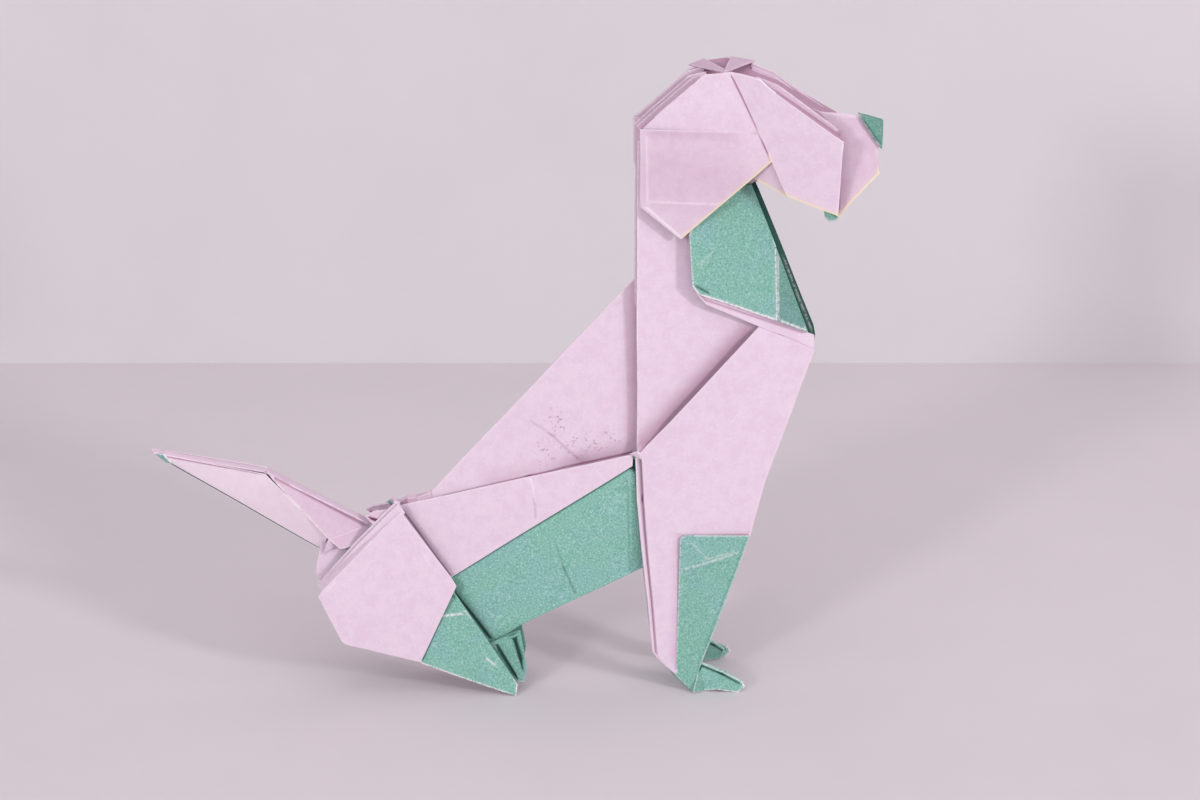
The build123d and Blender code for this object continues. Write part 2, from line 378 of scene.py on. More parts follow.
class Sheet:
    """Facets of paper gathered into one mesh."""

    def __init__(self):
        self.points = []
        self.faces = []
        self.paint = []
        self.marks = {"worn": [], "raw": [], "crease_rub_and_shade": [], "painted_shading": []}
        self.shade_paint = 0.0

    def vertex(self, point, worn=0.0, raw=0.0, crease_rub_and_shade=0.0):
        self.points.append(point * MM)
        for amounts, amount in zip(self.marks.values(), (worn, raw, crease_rub_and_shade, self.shade_paint)):
            amounts.append(amount)
        return len(self.points) - 1

    def face(self, corners, paint):
        self.faces.append(corners)
        self.paint.append(paint)

    def facet(self, side, corners, edges, outside, rub_and_shade_lines=(), dips=(), shades=(), bow=SWELL,
              shade_paint=0.0, lining=None, toward=(0, -1, 0.15), layers=1):
        """One facet. side is -1 for the near half and 1 for the far one.

        A crease is (start, end, rub, relief). A rub above zero pales the paper as rubbed wear, and
        on the ear also as a painted highlight; a rub below zero paints a dark line of shade. A dip is
        (start, end, depth, width), and a shade is (start, end, amount, width), a soft band of
        painted shade. The facet's painted shading darkens all of it with painted shade, and below
        zero pales it with painted light. lining is the colour of the other side where a turned-up
        end makes it the same.
        """
        # The facet's painted shading goes on every vertex: painted shade above zero, painted light below
        # zero.
        self.shade_paint = shade_paint
        solid = [Vector((x * LONG, side * out, z * TALL)) for x, out, z in corners]
        facet = Facet(solid, edges, Vector((toward[0], -side * toward[1], toward[2])))
        flat = facet.flat
        lines = facet.lines(rub_and_shade_lines)
        hollows = facet.lines(dips)
        soft = facet.lines(shades)
        rim = edge_points(flat)
        spots, triangles, where = facet_net(flat, rim, lines, soft)
        pairs = [(a, b, kind) for a, b, kind in zip(flat, flat[1:] + flat[:1], facet.kinds)]
        half = PAPER * layers / 2
        front = []
        back = []
        for p in spots:
            folds = [(to_edge(p, a, b), kind) for a, b, kind in pairs if kind != "c"]
            cut = min([to_edge(p, a, b) for a, b, kind in pairs if kind == "c"] + [FAR_OFF])
            near = min([distance for distance, _ in folds] + [SWELL_END])
            worn = max([WEAR[kind] * fall(distance, RUB_WIDTH) for distance, kind in folds] + [0.0])
            # The crease mark is pale where a crease is rubbed, and dark where a line or a band of painted
            # shade lies.
            pressed = [fall(to_edge(p, a, b), CREASE_WIDTH) for a, b, _, _ in lines]
            mark = sum(part * rub for part, (_, _, rub, _) in zip(pressed, lines))
            mark -= sum(paint_over * fall(to_edge(p, a, b), width) for a, b, paint_over, width in soft)
            lift = bow * (1 - fall(near, SWELL_REACH))
            lift += sum(part * relief for part, (_, _, _, relief) in zip(pressed, lines))
            lift -= sum(depth * fall(to_edge(p, a, b), width) for a, b, depth, width in hollows)
            lift += sprung(p, flat, facet.heights)
            place = facet.centre + facet.first * p.x + facet.second * p.y + facet.normal * lift
            place += noise.noise_vector(place / DRIFT_SIZE) * DRIFT
            raw = fall(cut, RAW_WIDTH)
            front.append(self.vertex(place + facet.normal * half, worn, raw, mark))
            back.append(self.vertex(place - facet.normal * half, worn, raw, mark))
        other = (GREEN if outside == PINK else PINK) if lining is None else lining
        for a, b, c in triangles:
            self.face((front[a], front[b], front[c]), outside)
            self.face((back[c], back[b], back[a]), other)
        self.rim(facet, rim, where, (front, back), half, (outside, other))

    def rim(self, facet, rim, where, rows, half, colours):
        """The edge all round a facet: round and coloured at a fold, square and pale at a cut."""
        flat = facet.flat
        front, back = rows
        outside, other = colours
        runs = [(b - a).normalized() for a, b in zip(flat, flat[1:] + flat[:1])]
        outward = [Vector((run.y, -run.x)) for run in runs]
        for place, (point, number) in enumerate(rim):
            after = (place + 1) % len(rim)
            kind = facet.kinds[number]
            ends = (where[place], where[after])
            if kind == "c":
                quad = []
                for row in rows:
                    for end in ends:
                        quad.append(self.vertex(self.points[row[end]] / MM, raw=1.0))
                self.face((quad[0], quad[2], quad[3], quad[1]), CUT)
                continue
            ways = []
            for spot, neighbour in ((point, number - 1), (rim[after][0], (number + 1) % len(flat))):
                corner = any((spot - c).length < 1e-6 for c in flat)
                way = (outward[number] + outward[neighbour]).normalized() if corner else outward[number]
                ways.append(facet.first * way.x + facet.second * way.y)
            rings = []
            for end, way in zip(ends, ways):
                middle = (self.points[front[end]] + self.points[back[end]]) / 2 / MM
                ring = [front[end]]
                for angle in ROUND:
                    turn = math.radians(angle)
                    offset = facet.normal * math.cos(turn) * half + way * math.sin(turn) * half
                    ring.append(self.vertex(middle + offset, WEAR[kind]))
                ring.append(back[end])
                rings.append(ring)
            paint = other if kind == "r" else outside
            for k in range(len(ROUND) + 1):
                self.face((rings[0][k], rings[0][k + 1], rings[1][k + 1], rings[1][k]), paint)


dog = Sheet()
NEAR, FAR = -1, 1


def fold(title, *parts):
    """Folds the named parts on both halves and says how far the sheet has grown."""
    for side in (NEAR, FAR):
        for part in parts:
            part(side)
    print(title + ":", len(dog.faces), "faces so far")


# %% [markdown]
# ## Neck
# The neck is two flat pink layers that meet at the throat. At its foot the layer sinks into a
# pleat under the foreleg, so it gets a dip there, and behind it turns in towards the middle.

# %% Neck
INWARD = (-0.5, 1, 0)


def neck(side):
    pleat = [((21.0, 38.8), (29.0, 47.6), 0.25, 2.4)]
    # A soft band of painted shade along the leg's fold, where the neck sinks under the foreleg.
    painted_shade_bands = [((17.2, 34.6), (30.5, 49.2), 0.8, 1.6)]
    corners = (NECK_NAPE, THROAT_TOP, THROAT_LOW, PLEAT_DEEP, NECK_FOOT)
    dog.facet(side, corners, "hhhhw", PINK, dips=pleat, shades=painted_shade_bands)
    dog.facet(side, (NECK_NAPE, NECK_FOOT, RIDGE_TOP), "hhh", PINK, bow=0, toward=INWARD)
    dog.facet(side, (NECK_FOOT, BACK_FRONT, RIDGE_TOP), "hhh", PINK, bow=0)


fold("neck", neck)

# %% [markdown]
# ## Chest
# The green bib is the sheet turned over at the throat. A rubbed crease splits it: the part in
# front of the crease turns away to the throat and is darkened with painted shade. At the
# throat more layers show; they are drawn as one narrow facet painted dark with shade, crossed
# by one light line.
# Under the bib's hem runs a narrow pink strip, the soft fold that holds it.

# %% Chest
BIB_TOP = (30.4, 0.3, 68.9)
BIB_FRONT = (38.1, 0.3, 49.0)
CREASE_TOP = (33.6, 0.35, 60.7)
CREASE_LOW = (34.0, 1.45, 51.1)
BIB_PLANE = (BIB_TOP, CREASE_TOP, (22.6, 2.5, 62.8))
STRIP_PLANE = (THROAT_TOP, THROAT_LOW, raised(PLEAT_TOP, 0.65))
THROAT_OUT = 0.16


def chest(side):
    hem = lay_all(STRIP_PLANE, (38.8, 47.1), (35.2, 48.7), (31.6, 50.4), (27.1, 52.6))
    hem += lay_all(STRIP_PLANE, (24.7, 53.8), (23.6, 55.2), (24.6, 67.1))
    # The dark line on the strip just under the bib's hem is painted shade.
    line = [((24.6, 54.3), (38.6, 48.5), -0.8)]
    dog.facet(side, (THROAT_TOP, THROAT_LOW, *hem), "hhffffffh", PINK, line, bow=0)
    dog.facet(side, (THROAT_LOW, LEG_FRONT, PLEAT_TOP), "hhh", PINK, bow=0)
    bib = lay_all(BIB_PLANE, (30.4, 52.5), (27.4, 53.8), (25.1, 54.7), (23.8, 55.3))
    bib += lay_all(BIB_PLANE, (23.0, 56.4), (22.6, 62.9), (23.9, 68.5))
    # Bib marks: a rubbed line, the rubbed white hem, and a dark line of painted shade under the curled
    # corner; the whole bib gets a slight painted shading.
    bib_marks = [((24.5, 59.6), (25.2, 60.2), 0.35), ((24.6, 54.95), (33.8, 51.25), 0.8)]
    bib_marks += [((23.5, 56.3), (25.0, 55.3), -1.1)]
    corners = (BIB_TOP, CREASE_TOP, CREASE_LOW, *bib)
    dog.facet(side, corners, "hwwwwwwffh", GREEN, bib_marks, bow=0.1, shade_paint=0.08)
    # The bib's front part is darkened with painted shade where it turns away; its lines are rubbed creases.
    bib_marks = [((33.9, 60.0), (34.15, 51.4), 0.55), ((34.2, 51.15), (37.8, 49.35), 0.8)]
    corners = (CREASE_TOP, BIB_FRONT, CREASE_LOW)
    dog.facet(side, corners, "hff", GREEN, bib_marks, bow=0.1, shade_paint=0.45)
    # The throat's edge layers are one facet painted dark with shade, crossed by one light line.
    throat = upright(THROAT_OUT, (30.9, 69.2), (38.75, 49.9), (39.0, 48.6), (38.9, 47.0))
    throat += upright(THROAT_OUT, (36.0, 50.0), (29.5, 68.0))
    line = [((34.9, 58.7), (38.5, 49.6), 0.3)]
    dog.facet(side, throat, "hhhhhh", GREEN, line, bow=0, shade_paint=1.2)


fold("chest", chest)

# %% [markdown]
# ## Foreleg and forefoot
# The leg is one pink layer over another, so a second edge shows behind the calf. At its top
# the tip of the flank band curls over the gap. The foot is the end of the sheet turned up
# from the sole: its green face makes the shin, and a small flap turned forward props the dog
# as a toe. The toe is double, so both its sides are green.

# %% Foreleg
LEG_LIFT = 0.3
LEG_ROOT = raised(NECK_FOOT, LEG_LIFT)
LEG_TOP_FRONT = raised(LEG_FRONT, LEG_LIFT)
OVER_PLANE = (LEG_ROOT, LEG_TOP_FRONT, SOLE_TIP)
CALF_PLANE = (LEG_HEEL, SOLE_BACK, (15.7, 1.95, 32.0))


def foreleg(side):
    top = lay_all(OVER_PLANE, (16.45, 33.35), (31.7, 50.1))
    front = lay_all(OVER_PLANE, (32.8, 29.3), (30.8, 21.6), (26.2, 8.6))
    rear = lay_all(OVER_PLANE, (21.1, 2.7), (18.85, 5.1), (17.0, 27.0), (16.75, 32.2))
    # Painted shade: dark lines beside the shin's left and top edges, and a soft band beside its left edge.
    lines = [((21.2, 3.4), (21.7, 21.0), -0.7), ((22.3, 22.0), (30.6, 21.95), -0.9)]
    spring = [((20.0, 37.8), (30.0, 48.4), -0.45, 2.4)]
    painted_shade_bands = [((20.9, 4.5), (21.4, 20.8), 0.25, 0.5)]
    corners = (*top, LEG_TOP_FRONT, *front, *rear)
    dog.facet(side, corners, "fhfffhffff", PINK, lines, spring, painted_shade_bands)
    calf = lay_all(CALF_PLANE, (15.9, 33.0), (16.6, 33.0), (23.0, 29.3))
    calf += lay_all(CALF_PLANE, (21.1, 2.6), (18.7, 5.0), (18.15, 5.9), (16.1, 26.8))
    # The slit between the calf and the leg is a shallow groove painted dark with shade.
    slit = [((16.5, 32.4), (16.75, 27.0), -1.0, -0.1), ((16.75, 27.0), (18.5, 5.6), -1.0, -0.1)]
    dog.facet(side, calf, "fhhfffw", PINK, slit)
    # The sole under the leg is darkened with painted shade.
    sole = ((18.7, 3.0, 4.6), (21.2, 3.6, 1.75), (23.2, 4.3, 0.1), (23.2, 4.5, 1.2), (21.0, 4.2, 3.0))
    dog.facet(side, sole, "fffhh", GREEN, bow=0, shade_paint=0.6)
    curl = [(15.2, 1.75, 33.0), (15.7, 2.1, 33.3), (16.1, 2.35, 33.5), (16.5, 2.45, 33.3)]
    curl += [(16.5, 2.4, 32.6), (15.95, 2.1, 32.8)]
    dog.facet(side, curl, "wwwfhf", PINK, bow=0)


fold("foreleg", foreleg)

# %% Forefoot
SHIN_PLANE = (SOLE_TIP, SOLE_BACK, (22.0, 3.75, 21.9))
TOE = ((26.6, 5.0, 0.5), (29.4, 5.3, 0.1), (30.3, 5.3, 0.9), (29.8, 5.2, 1.7), (27.4, 5.1, 3.05))
UNDER_TOE = ((26.6, 4.2, 0.2), (29.0, 4.6, 0.1), (29.6, 4.7, 1.5), (27.9, 4.7, 2.9))
FAR_TOE_SHIFT = -0.9


def forefoot(side):
    ankle = lay(SHIN_PLANE, 24.5, 4.2)
    shin = lay_all(SHIN_PLANE, (21.75, 21.5), (21.9, 21.9), (22.4, 22.15), (30.7, 22.1), (26.2, 8.8))
    # The light lines on the shin are rubbed creases; the dark line near its front edge is painted shade, and
    # the shin gets a slight painted shading.
    rub_and_shade_lines = [((21.9, 17.4), (29.0, 19.7), 0.45, 0.03), ((23.2, 21.2), (25.2, 19.0), 0.25)]
    rub_and_shade_lines += [((25.2, 19.0), (28.8, 19.9), 0.25), ((24.2, 4.0), (30.3, 21.6), -0.3)]
    corners = (SOLE_TIP, SOLE_BACK, *shin, ankle)
    dog.facet(side, corners, "fffffffh", GREEN, rub_and_shade_lines, shade_paint=0.07)
    shift = 0 if side == NEAR else FAR_TOE_SHIFT
    heel = (SOLE_TIP[0], SOLE_TIP[1] - 0.15, 0.1)
    toe = [(along + shift, out, up) for along, out, up in TOE]
    knuckle = (27.3 + shift, 2.75)
    # The toe's dark lines, along the shin and round its knuckle, are painted shade.
    lines = [((24.7, 3.7), knuckle, -1.3, -0.1), (knuckle, (29.5 + shift, 1.45), -1.3)]
    lines += [((23.65, 0.8), (24.55, 3.7), -1.3)]
    corners = (heel, *toe, raised(ankle, -0.2))
    dog.facet(side, corners, "fwwwffh", GREEN, lines, bow=0.05, lining=GREEN)
    # The toe's under layer is darkened with painted shade, and its dark lines are painted shade too.
    under = [(along + shift, out, up) for along, out, up in UNDER_TOE]
    knuckle = (27.9 + shift, 2.5)
    lines = [((25.5, 3.4), knuckle, -1.3), (knuckle, (29.3 + shift, 1.3), -1.3)]
    corners = (heel, *under, raised(ankle, -0.9))
    dog.facet(side, corners, "ffffff", GREEN, lines, bow=0, lining=GREEN, shade_paint=0.3)


fold("forefoot", forefoot)

# %% [markdown]
# ## Back, belly and flank
# The pink back slopes from its ridge to a fold under the belly. There the sheet turns up and
# shows its green face, and at the top of the flank it turns down again as a pink band.

# %% Back and flank
BAND_PLANE = (BAND_FRONT, RIM_TOP, (-8.2, 1.55, 16.1))


def back(side):
    under = lay(BACK_PLANE, 0.6, 8.9)
    corners = (RIDGE_TOP, RIDGE_RUMP, BACK_REAR, BELLY_REAR, under, BELLY_FRONT, BACK_FRONT)
    # These lines are painted shade: a thin crease drawn dark, and a dark line along the band's top edge.
    rub_and_shade_lines = [((2.4, 37.3), (5.0, 35.5), -0.3, 0.03), ((5.0, 35.5), (8.2, 32.4), -0.45, 0.03)]
    rub_and_shade_lines += [((-9.0, 27.05), (2.0, 29.75), -0.8), ((2.0, 29.75), (15.2, 32.85), -1.0)]
    sunk = [((7.0, 30.6), (15.5, 32.3), 0.6, 2.0)]
    # Soft bands of painted shade: the neck's shadow beside its back edge, and shade above the band.
    painted_shade_bands = [((15.7, 35.0), (15.9, 60.0), 0.5, 1.1), ((-3.0, 29.3), (9.0, 32.0), 0.22, 1.0)]
    painted_shade_bands += [((9.0, 32.0), (15.6, 33.5), 0.4, 1.3)]
    dog.facet(side, corners, "fhhhhhh", PINK, rub_and_shade_lines, sunk, painted_shade_bands)


def flank(side):
    rim, under = lay_all(BELLY_PLANE, (-14.6, 23.0), (0.6, 8.8))
    front = lay_all(BELLY_PLANE, (18.7, 17.7), (18.3, 31.0))
    corners = (BAND_FRONT, rim, HIP, BELLY_REAR, under, BELLY_FRONT, *front)
    # All these lines are painted shade: a crease drawn dark, and dark lines along the band, the hind leg, the
    # slit at the band's tip and the calf.
    rub_and_shade_lines = [((5.4, 20.6), (6.4, 17.0), -0.25), ((6.4, 17.0), (8.0, 13.2), -0.5)]
    rub_and_shade_lines += [((14.8, 29.3), (15.2, 16.6), -0.35, 0.05)]
    rub_and_shade_lines += [((-8.1, 15.9), (15.4, 31.15), -1.1), ((-7.9, 13.5), (-3.4, 6.9), -1.3)]
    rub_and_shade_lines += [((-6.4, 11.5), (-3.1, 6.8), -0.8), ((15.85, 32.7), (15.65, 31.0), -1.25, -0.2)]
    rub_and_shade_lines += [((15.9, 30.9), (16.2, 27.0), -1.0, -0.1), ((16.2, 27.0), (17.1, 17.4), -0.8, -0.1)]
    # Soft bands of painted shade beside the calf and the hind leg, and a dark one in the slit.
    painted_shade_bands = [((16.4, 31.0), (17.6, 17.6), 0.45, 0.9), ((-8.0, 14.5), (-3.8, 7.4), 0.5, 0.7)]
    painted_shade_bands += [((15.9, 33.0), (15.7, 31.3), 2.4, 0.35)]
    dog.facet(side, corners, "rhhhhhhh", GREEN, rub_and_shade_lines, shades=painted_shade_bands)


def band(side):
    low_edge = lay_all(BAND_PLANE, (-11.9, 13.8), (-8.2, 16.1), (15.4, 31.35))
    # The first line is a rubbed crease; its lower part and the line along the haunch are painted shade, and
    # so is the soft band beside the haunch.
    rub_and_shade_lines = [((2.3, 29.6), (2.7, 26.9), 0.6, 0.04), ((2.7, 26.9), (2.8, 24.3), -0.4)]
    rub_and_shade_lines += [((-14.6, 25.0), (-8.5, 16.1), -1.0, -0.1)]
    painted_shade_bands = [((-14.3, 25.0), (-8.0, 16.6), 0.3, 0.4)]
    dog.facet(side, (BAND_FRONT, RIM_TOP, *low_edge), "fhhfw", PINK, rub_and_shade_lines, shades=painted_shade_bands)


fold("back and flank", back, flank, band)

# %% [markdown]
# ## Haunch and hind leg
# The haunch is a pink layer over the green hind leg. Both hang from a rolled fold that climbs
# from the rump to the top of the flank. A roll could be a tube, but this one is pressed
# nearly flat, so it is two more narrow layers, each a little in front of the last.

# %% Haunch
HAUNCH_LOW = (-12.7, 4.1, 4.8)
HAUNCH_PLANE = ((-15.0, 2.4, 25.4), (-8.4, 2.9, 16.3), HAUNCH_LOW)
ROLL_LOW = (-25.9, 15.2)
ROLL_BEND = (-20.8, 21.2)
ROLL_TOP = (-15.4, 26.8)
ROLL_LAYERS = ((0.0, 0.75, 1.55), (0.35, 1.1, 2.0))
FAR_HAUNCH_DROP = 1.0
ROLL_BACK = (-0.5, -0.5, 0.5)


def stepped(spot, across):
    """A spot of the roll, moved across it towards the haunch."""
    return (spot[0] + 0.75 * across, spot[1] - 0.65 * across)


def haunch(side):
    drop = 0 if side == NEAR else FAR_HAUNCH_DROP
    front = lay_all(HAUNCH_PLANE, (-15.0, 25.5 - drop), (-14.6, 25.2 - drop), (-8.4, 16.3), (-7.8, 15.2))
    low_edge = lay_all(HAUNCH_PLANE, (-22.3, 7.7), (-22.9, 8.2), (-25.8, 14.4), (-25.3, 15.1))
    rubs = [((-12.3, 20.2), (-11.4, 18.6), 0.25, 0.04), ((-24.6, 15.3), (-23.7, 16.2), 0.5)]
    dog.facet(side, (*front, HAUNCH_LOW, *low_edge), "fffffwfff", PINK, rubs)
    top = (ROLL_TOP[0] - drop, ROLL_TOP[1] - drop)
    for outer, inner, out in ROLL_LAYERS:
        edge = [stepped(spot, outer) for spot in (ROLL_LOW, ROLL_BEND, top)]
        hidden = [stepped(spot, inner) for spot in (top, ROLL_LOW)]
        corners = upright(out, edge[0]) + upright(out + 0.25, edge[1]) + upright(out, edge[2])
        corners += [(along + 0.2, out + 0.3, up - 0.6) for along, up in hidden]
        # The dark line inside each layer of the roll is painted shade.
        line = [(along + 0.45, up - 0.45) for along, up in edge[:2]]
        dog.facet(side, corners, "ffhhf", PINK, [(*line, -0.8)], bow=0.1)
    top, rear = lay_all(HAUNCH_PLANE, (-15.0, 25.4), (-25.3, 15.1))
    for corners in ((top, RIM_TOP, RIM_REAR), (top, RIM_REAR, rear)):
        dog.facet(side, corners, "hhh", PINK, bow=0, toward=ROLL_BACK)


fold("haunch", haunch)

# %% Hind leg
HIND_TOE = (-0.1, 4.5, 0)
HIND_PLANE = (RIM_TOP, RIM_REAR, HIND_TOE)
HIND_TOP = (RIM_TOP[0] - 0.8, RIM_TOP[1] - 0.3, RIM_TOP[2] - 1.4)


def hind_leg(side):
    upper = lay_all(HIND_PLANE, (-11.5, 17.5), (-8.1, 14.0), (-6.3, 11.2))
    shin, instep = lay_all(HIND_PLANE, (-3.4, 6.9), (0.1, 1.5))
    under = lay_all(HIND_PLANE, (-12.6, 4.6), (-21.0, 9.0))
    # The first two lines are rubbed creases; the dark line under the haunch's edge is painted shade, and the
    # leg gets a slight painted shading.
    rub_and_shade_lines = [((-9.6, 10.9), (-6.4, 11.2), 0.9, 0.03), ((-3.9, 5.2), (-3.0, 4.4), 0.7)]
    rub_and_shade_lines += [((-7.9, 14.8), (-12.4, 5.0), -1.3)]
    corners = (HIND_TOP, *upper, shin, instep, HIND_TOE, *under, (-23.0, 2.0, 14.0))
    dog.facet(side, corners, "hhhhhwwhhh", GREEN, rub_and_shade_lines, shade_paint=0.08)
    inner = lay_all((shin, instep, (0.6, 2.2, 8.3)), (0.6, 8.3), (1.3, 3.7), (1.0, 1.6))
    # The inner layers' dark lines and bands are painted shade in the gaps, and the layers are darkened with
    # painted shade, the deeper one more.
    lines = [((-2.6, 6.7), (0.1, 1.9), -1.3, -0.15), ((-0.3, 7.9), (0.9, 3.2), -1.4, -0.2)]
    lines += [((-2.9, 7.4), (0.0, 8.3), -1.0)]
    painted_shade_bands = [((-0.3, 7.9), (0.8, 4.4), 1.3, 0.32), ((-2.3, 6.0), (-0.3, 2.6), 1.3, 0.28)]
    corners = (raised(shin, -0.35), *inner, raised(instep, -0.3))
    dog.facet(side, corners, "hhhfh", GREEN, lines, shades=painted_shade_bands, bow=0, lining=GREEN, shade_paint=0.2)
    deeper = [raised(p, -0.8) for p in inner]
    corners = (raised(shin, -1.2), *deeper, raised(instep, -1.2))
    dog.facet(side, corners, "hhhfh", GREEN, bow=0, lining=GREEN, shade_paint=0.4)


fold("hind leg", hind_leg)

# %% [markdown]
# ## Tail
# The tail is a narrow flat-topped fold. Its top overhangs the two blades a little, which
# draws a fine shadow under it, deepened by a painted dark line. The blades hang open below,
# so a green layer inside shows as a thin line, painted dark with shade, and comes out at the
# tip. A flap curls round the root.

# %% Tail
TAIL_TIP = (-46.9, 0, 34.0)
TAIL_BEND = (-32.3, 0, 31.0)
TAIL_LOW = (-25.1, 1.2, 19.5)
TAIL_CREASE = (-24.3, 1.75, 21.7)
EDGE_TIP = (-46.6, 0.36, 33.7)
EDGE_BEND = (-32.4, 0.9, 30.9)
EDGE_ROOT = (-18.7, 0.7, 23.1)
BLADE_TIP = (-46.8, 0.2, 33.75)
BLADE_BEND = (-32.3, 0.6, 31.0)
CREASE_MID = (-30.6, 1.25, 29.1)
UP = (0, -0.2, 1)


def tail(side):
    outer_half = (TAIL_TIP, TAIL_BEND, EDGE_BEND, EDGE_TIP)
    # The tail's top strip is darkened with painted shade.
    for corners in (outer_half, (TAIL_BEND, TAIL_ROOT, EDGE_ROOT, EDGE_BEND)):
        dog.facet(side, corners, "hhfw", PINK, bow=0, toward=UP, shade_paint=0.35, lining=PINK)
    blade = (BLADE_TIP, BLADE_BEND, CREASE_MID, TAIL_CREASE, TAIL_LOW)
    # The dark line under the top's overhang is a painted shadow, and the blade is paled with painted light.
    line = [((-45.6, 33.6), (-32.5, 31.0), -1.1)]
    dog.facet(side, blade, "hhhhf", PINK, line, bow=0.08, shade_paint=-0.7, lining=PINK)
    flap = (BLADE_BEND, (-18.9, 0.35, 22.9), (-20.9, 1.35, 20.6), (-22.8, 1.75, 20.3))
    # The flap's dark line and its darker face are painted shade.
    line = [((-31.2, 30.1), (-19.6, 22.9), -0.9)]
    dog.facet(side, (*flap, TAIL_CREASE, CREASE_MID), "hhwwww", PINK, line, bow=-0.25, shade_paint=0.4)
    # The green layer inside is painted dark with shade, and its tip is darkened a little.
    inner = upright(0.1, (-45.6, 32.9), (-33.5, 27.5), (-26.5, 21.5), (-25.6, 19.75), (-44.6, 32.2))
    dog.facet(side, inner, "hhhhh", GREEN, bow=0, shade_paint=1.2)
    tip = ((-46.3, 0.5, 33.55), (-45.4, 0.6, 33.65), (-44.3, 0.7, 32.3), (-45.0, 0.65, 32.55))
    dog.facet(side, tip, "hwhh", GREEN, bow=0, shade_paint=0.3)
    dog.facet(side, (TAIL_CREASE, TAIL_LOW, TAIL_ROOT), "hhh", PINK, bow=0)


fold("tail", tail)

# %% [markdown]
# ## Rump and root of the tail
# Below the tail the rump closes the body. Where the tail leaves the back, the paper is
# crumpled into a few small folds round a hole. The hole is drawn as dark lines of painted
# shade in a shallow dent, and the folds are darkened with painted shade.

# %% Rump and root of the tail
CREST = ((-15.8, 0.55, 26.4), (-15.0, 0.45, 26.2), (-14.0, 0.5, 26.8), (-12.7, 0.4, 26.9), (-11.0, 0.3, 27.5))
# Painted shade for each small fold of the crest.
CREST_SHADE_PAINT = (0.1, 1.5, 0.9, 0.5)


def rump(side):
    # The rump gets a slight painted shading.
    corners = (TAIL_ROOT, (-25.2, 0.7, 21.6), (-26.3, 0.25, 16.6), (-25.9, 0.4, 15.5), (-20.0, 1.6, 14.6))
    dog.facet(side, corners, "hffhh", PINK, bow=0, shade_paint=0.05, lining=PINK)
    dog.facet(side, (TAIL_ROOT, RIDGE_RUMP, BACK_REAR), "fhh", PINK)


def tail_root(side):
    ball = [(-19.5, 1.2, 24.6), (-18.4, 1.0, 25.2), (-16.6, 1.2, 25.5), (-16.0, 1.6, 24.4)]
    # The hole is two dark lines of painted shade in a shallow dent, and the ball round it is darkened with
    # painted shade.
    painted_hole_shade = [((-19.0, 24.5), (-18.0, 24.1), -1.2, -0.3), ((-18.7, 24.3), (-17.6, 24.2), -1.2, -0.3)]
    dog.facet(side, (*ball, (-18.4, 1.7, 23.6)), "ffhhh", PINK, painted_hole_shade, bow=0.1, shade_paint=0.3, lining=PINK)
    # The small folds of the crest are darkened with painted shade, each by its own amount.
    for a, b, shade_paint in zip(CREST, CREST[1:], CREST_SHADE_PAINT):
        low_a, low_b = [(along + 0.3, out - 0.1, up - 1.5) for along, out, up in (a, b)]
        top = (a, b, low_b, low_a)
        dog.facet(side, top, "fhhh", PINK, bow=0.1, shade_paint=shade_paint, toward=UP, lining=PINK)
        inner_b, inner_a = [(along, 0, up - 0.6) for along, _, up in (b, a)]
        slope = (a, b, inner_b, inner_a)
        dog.facet(side, slope, "hhhh", PINK, bow=0, shade_paint=0.5, toward=UP, lining=PINK)


fold("rump and tail root", rump, tail_root)

# %% [markdown]
# ## Head
# Skull, cheek and face are three flat layers. The cheek ends in a long cut edge, where the
# bare core of the paper shows as a cream line, and its lower corner is folded over sharply.
# The far face stands a little higher, as its edge behind the near one shows.

# %% Head
EAR_PLANE = (CROWN_BACK, FACE_FOLD, EAR_LOW)
LINING_PLANE = (CHEEK_BACK, CHEEK_LOW, (30.2, 3.0, 70.1))
BROW = {
    NEAR: ((30.8, 83.5), (32.0, 82.4), (35.2, 80.1), (41.2, 75.9)),
    FAR: ((29.5, 84.0), (31.2, 83.2), (36.6, 79.9), (41.8, 76.4)),
}


def skull(side):
    corners = (CROWN_BACK, CROWN_TOP, CROWN_FRONT, FACE_FOLD)
    # The dark line along the fold to the face is painted shade.
    line = [((27.4, 83.8), (30.9, 76.8), -1.2)]
    sunk = [((16.5, 77.0), (28.0, 76.4), 0.12, 1.0)]
    dog.facet(side, corners, "ffhh", PINK, line, sunk, lining=PINK)


def ear(side):
    low_edge = [raised(CHEEK_BACK, 0.3), *lay_all(EAR_PLANE, (21.7, 62.6), (21.4, 62.5))]
    # The light line across the ear is a rubbed crease, and the light line down its rounded back margin is a
    # painted highlight.
    rub_and_shade_lines = [((17.7, 67.5), (26.0, 67.2), 0.35, 0.04), ((16.9, 76.3), (17.1, 67.8), 0.3, 0.05)]
    # A dark line of painted shade runs along the face's edge, and the lower fold's white line is rubbed wear
    # strengthened as a painted highlight.
    rub_and_shade_lines += [((31.0, 76.4), (32.45, 73.2), -1.2), ((17.1, 66.7), (21.3, 62.8), 1.0, 0.05)]
    # Soft painted shade darkens the middle of the ear, where it faces down, and a band of it lies under the
    # skull's step.
    soft = [((19.0, 71.5), (26.0, 70.5), 0.24, 5.5), ((17.6, 76.6), (27.6, 76.2), 0.25, 0.5)]
    dog.facet(side, (CROWN_BACK, FACE_FOLD, *low_edge, EAR_LOW), "hhcwwf", PINK, rub_and_shade_lines, shades=soft)


